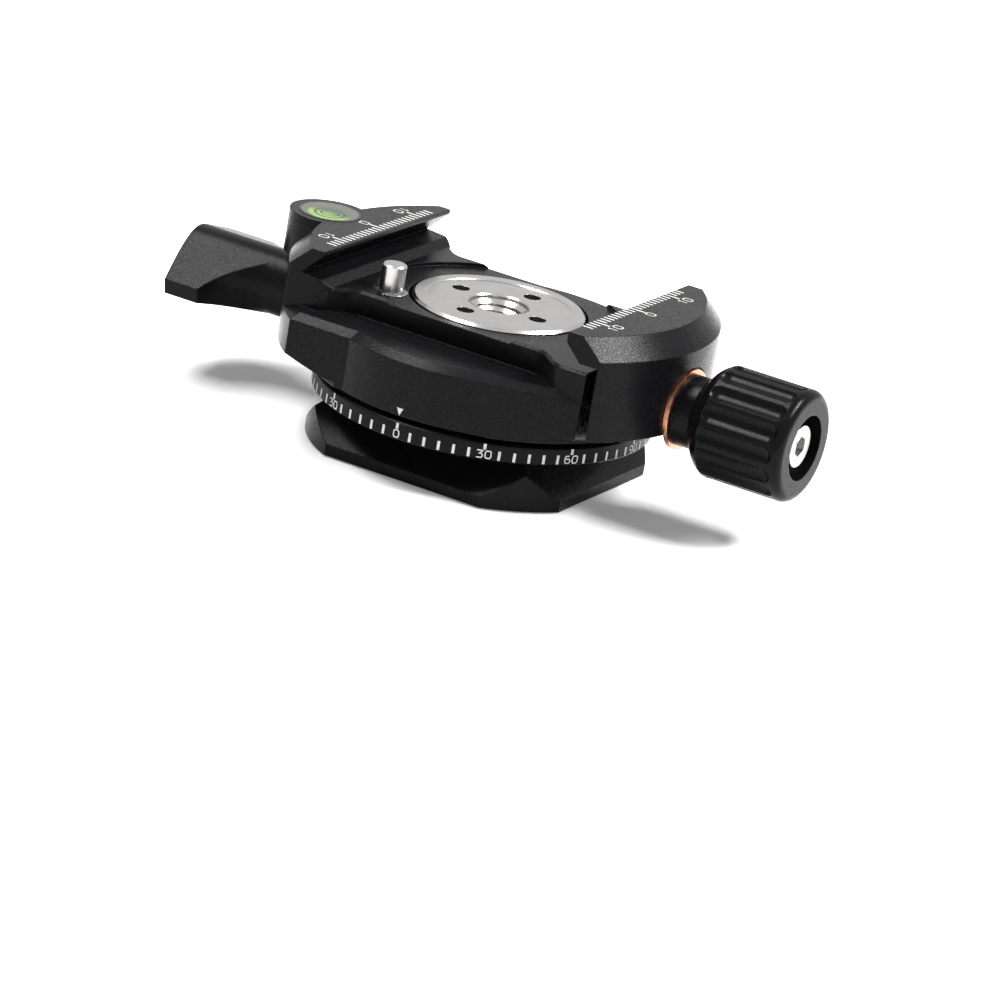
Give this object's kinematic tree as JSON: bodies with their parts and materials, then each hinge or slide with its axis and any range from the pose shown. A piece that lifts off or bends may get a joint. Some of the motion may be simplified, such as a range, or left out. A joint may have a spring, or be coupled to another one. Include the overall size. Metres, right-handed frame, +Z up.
{
  "type": "panoramic tripod head",
  "caption": "Panning tripod head: dovetail foot with a degree ring, panning body with a screw-driven dovetail clamp, a winged pan lock lever and a bubble level.",
  "frame": {"origin": "centre of the foot's underside, on the pan axis", "axes": "+Z up along the pan axis, +X towards the clamp knob and the moving jaw, -X towards the lock lever and the level, -Y towards the index mark"},
  "size_m": [0.091, 0.0446, 0.025],
  "materials": {
    "black_anodised": "black bead-blasted anodised aluminium",
    "bright_steel": "bright turned stainless steel",
    "copper": "turned copper",
    "bronze": "plain bronze",
    "slide_polymer": "low-friction polymer",
    "black_plastic": "moulded black",
    "level_liquid": "yellow-green liquid",
    "level_bubble": "air bubble",
    "clear_lens": "clear acrylic"
  },
  "bodies": {
    "base": {"base_plate": "black_anodised", "scale_ring": "black_anodised", "pan_spindle": "bright_steel", "top_disc": "bright_steel", "lower_slide_washer": "slide_polymer", "upper_slide_washer": "slide_polymer", "preload_washer": "bright_steel"},
    "head": {"head_body": "black_anodised", "level_cup": "black_plastic", "level_liquid": "level_liquid", "level_bubble": "level_bubble", "level_lens": "clear_lens", "pin_bush": "bright_steel", "pin_plug": "black_anodised", "pin_spring": "bright_steel", "jaw_springs": "bright_steel"},
    "stop_pin": {"stop_pin": "bright_steel"},
    "moving_jaw": {"moving_jaw": "black_anodised", "jaw_guide_pins": "bright_steel", "copper_washer": "copper"},
    "clamp_knob": {"clamp_knob": "black_anodised", "clamp_spindle": "bright_steel", "knob_end_screw": "bright_steel"},
    "brake_shoe": {"brake_shoe": "bronze"},
    "lock_lever": {"lock_lever": "black_anodised", "lock_stud": "bright_steel", "lever_collar": "black_anodised", "lever_washer": "bright_steel", "lever_end_screw": "bright_steel"}
  },
  "joints": [
    {"name": "pan", "type": "hinge", "parent": "base", "child": "head", "pos_m": [0, 0, 0.0095], "axis": [0, 0, 1], "continuous": true},
    {"name": "stop_pin_press", "type": "slide", "parent": "head", "child": "stop_pin", "axis": [0, 0, -1], "range_m": [0, 0.0034], "stiffness_N_per_m": 200, "springref_m": -0.002, "deforming": ["pin_spring"]},
    {"name": "jaw_slide", "type": "slide", "parent": "head", "child": "moving_jaw", "axis": [1, 0, 0], "range_m": [-0.0012, 0.0032], "deforming": ["jaw_springs"]},
    {"name": "knob_turn", "type": "hinge", "parent": "moving_jaw", "child": "clamp_knob", "pos_m": [0.0305, 0, 0.0144], "axis": [1, 0, 0], "range_deg": [-541, 1441]},
    {"name": "shoe_slide", "type": "slide", "parent": "head", "child": "brake_shoe", "axis": [1, 0, 0], "range_m": [-0.0001, 0.0002]},
    {"name": "lever_turn", "type": "hinge", "parent": "brake_shoe", "child": "lock_lever", "pos_m": [-0.0305, 0, 0.0136], "axis": [1, 0, 0], "range_deg": [-45.5, 90.5]}
  ],
  "couplings": [
    {"joint": "knob_turn", "follows": "jaw_slide", "rad_per_m": 7854},
    {"joint": "lever_turn", "follows": "shoe_slide", "rad_per_m": 7854}
  ]
}
